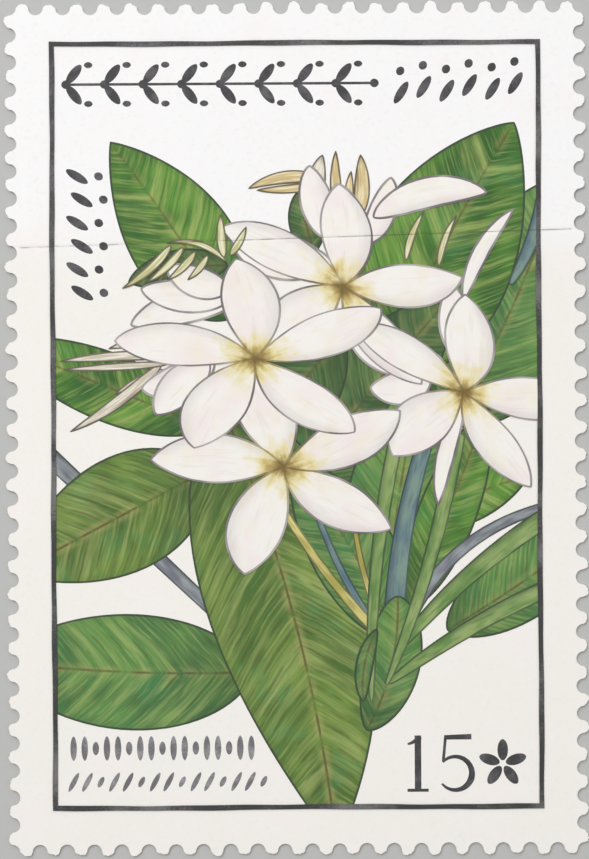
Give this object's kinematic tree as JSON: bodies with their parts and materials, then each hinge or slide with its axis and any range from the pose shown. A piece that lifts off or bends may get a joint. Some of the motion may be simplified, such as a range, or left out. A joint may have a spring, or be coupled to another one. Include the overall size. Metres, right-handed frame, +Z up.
{
  "type": "postage stamp",
  "caption": "Flat perforated paper stamp with gum on its back and a framed picture of white flowers and green leaves printed on its face.",
  "frame": {"origin": "under the middle of the sheet, on the lower face of the gum that it lies on", "axes": "+Z up, out of the printed face; +Y towards the top of the picture; +X towards its right side"},
  "size_m": [0.028, 0.0414, 0.0001],
  "materials": {
    "gum": "satin",
    "paper": "matte",
    "rule_ink": "matte",
    "picture_ink": "matte"
  },
  "bodies": {
    "root": {"gum_layer": "gum", "paper_sheet": "paper", "frame_rule": "rule_ink", "picture_ink": "picture_ink"}
  },
  "joints": []
}
